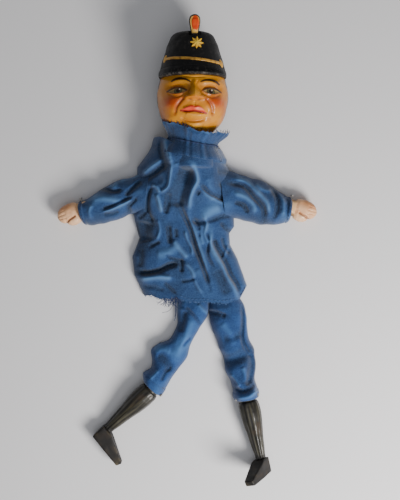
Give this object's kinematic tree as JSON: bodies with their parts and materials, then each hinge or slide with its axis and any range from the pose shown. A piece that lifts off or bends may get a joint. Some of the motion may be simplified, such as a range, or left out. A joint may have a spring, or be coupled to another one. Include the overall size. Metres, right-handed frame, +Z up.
{
  "type": "glove puppet",
  "caption": "Glove puppet of a policeman: carved head with shako, hollow cloth tunic, sleeves with wooden hands, cloth legs with turned boots, lying on its back.",
  "frame": {"origin": "centre of the bottom of the whole puppet's box, on the surface it lies on", "axes": "+Z up from the surface and out of the chest, +Y towards the head along the body's length, +X to the viewer's right"},
  "size_m": [0.2307, 0.4072, 0.0689],
  "materials": {
    "tunic_cloth": "woven cotton, matt",
    "trouser_cloth": "woven cotton, matt",
    "thread": "twisted thread",
    "head_paint": "varnished paint on carved wood",
    "hat_paint": "semi-gloss paint on turned wood",
    "gold_paint": "gold-ochre paint",
    "star_paint": "yellow paint",
    "plume_paint": "orange-red paint with a pale edge",
    "hand_paint": "thin flesh paint on carved wood",
    "bare_wood": "raw",
    "boot_paint": "black paint worn to the wood",
    "steel": "dull"
  },
  "bodies": {
    "torso": {"tunic_front": "tunic_cloth", "tunic_back": "tunic_cloth", "trouser_seat": "trouser_cloth"},
    "neck": {"collar": "tunic_cloth", "collar_cord": "thread"},
    "head": {"head_block": "head_paint", "shako": "hat_paint", "peak": "hat_paint", "hat_band": "gold_paint", "band_buttons": "gold_paint", "star_badge": "star_paint", "plume": "plume_paint", "plume_core": "plume_paint"},
    "arm_left": {"sleeve_upper_left": "tunic_cloth"},
    "forearm_left": {"sleeve_lower_left": "tunic_cloth", "hand_left": "hand_paint", "hand_tacks_left": "steel"},
    "thigh_left": {"trouser_thigh_left": "trouser_cloth"},
    "shin_left": {"trouser_shin_left": "trouser_cloth", "boot_leg_left": "boot_paint", "ankle_dowel_left": "bare_wood", "shoe_left": "boot_paint", "boot_tacks_left": "steel"},
    "arm_right": {"sleeve_upper_right": "tunic_cloth"},
    "forearm_right": {"sleeve_lower_right": "tunic_cloth", "hand_right": "hand_paint", "hand_tacks_right": "steel"},
    "thigh_right": {"trouser_thigh_right": "trouser_cloth"},
    "shin_right": {"trouser_shin_right": "trouser_cloth", "boot_leg_right": "boot_paint", "ankle_dowel_right": "bare_wood", "shoe_right": "boot_paint", "boot_tacks_right": "steel"}
  },
  "joints": [
    {"name": "head_nod", "type": "hinge", "parent": "torso", "child": "neck", "pos_m": [0.005, 0.0905, 0.049], "axis": [1, 0, 0], "range_deg": [0, 50]},
    {"name": "head_turn", "type": "hinge", "parent": "neck", "child": "head", "pos_m": [0.005, 0.094, 0.03], "axis": [0, 1, 0], "range_deg": [-50, 50]},
    {"name": "shoulder_left", "type": "hinge", "parent": "torso", "child": "arm_left", "pos_m": [-0.045, 0.0533, 0.0095], "axis": [0, 0, -1], "range_deg": [-30, 45]},
    {"name": "elbow_left", "type": "hinge", "parent": "arm_left", "child": "forearm_left", "pos_m": [-0.0706, 0.04473, 0.019], "axis": [-0.3173, 0.9483, 0], "range_deg": [0, 90]},
    {"name": "shoulder_right", "type": "hinge", "parent": "torso", "child": "arm_right", "pos_m": [0.0433, 0.0515, 0.0095], "axis": [0, 0, 1], "range_deg": [-30, 45]},
    {"name": "elbow_right", "type": "hinge", "parent": "arm_right", "child": "forearm_right", "pos_m": [0.06954, 0.04515, 0.019], "axis": [-0.2351, -0.972, 0], "range_deg": [0, 90]},
    {"name": "hip_left", "type": "hinge", "parent": "torso", "child": "thigh_left", "pos_m": [0.004, -0.0603, 0.0142], "axis": [-1, 0, 0], "range_deg": [0, 80]},
    {"name": "knee_left", "type": "hinge", "parent": "thigh_left", "child": "shin_left", "pos_m": [-0.02085, -0.103, 0.0142], "axis": [-0.809, 0.5878, 0], "range_deg": [0, 60]},
    {"name": "hip_right", "type": "hinge", "parent": "torso", "child": "thigh_right", "pos_m": [0.0365, -0.0603, 0.0142], "axis": [-1, 0, 0], "range_deg": [0, 80]},
    {"name": "knee_right", "type": "hinge", "parent": "thigh_right", "child": "shin_right", "pos_m": [0.04785, -0.1072, 0.0142], "axis": [-0.9781, -0.2079, 0], "range_deg": [0, 60]}
  ]
}
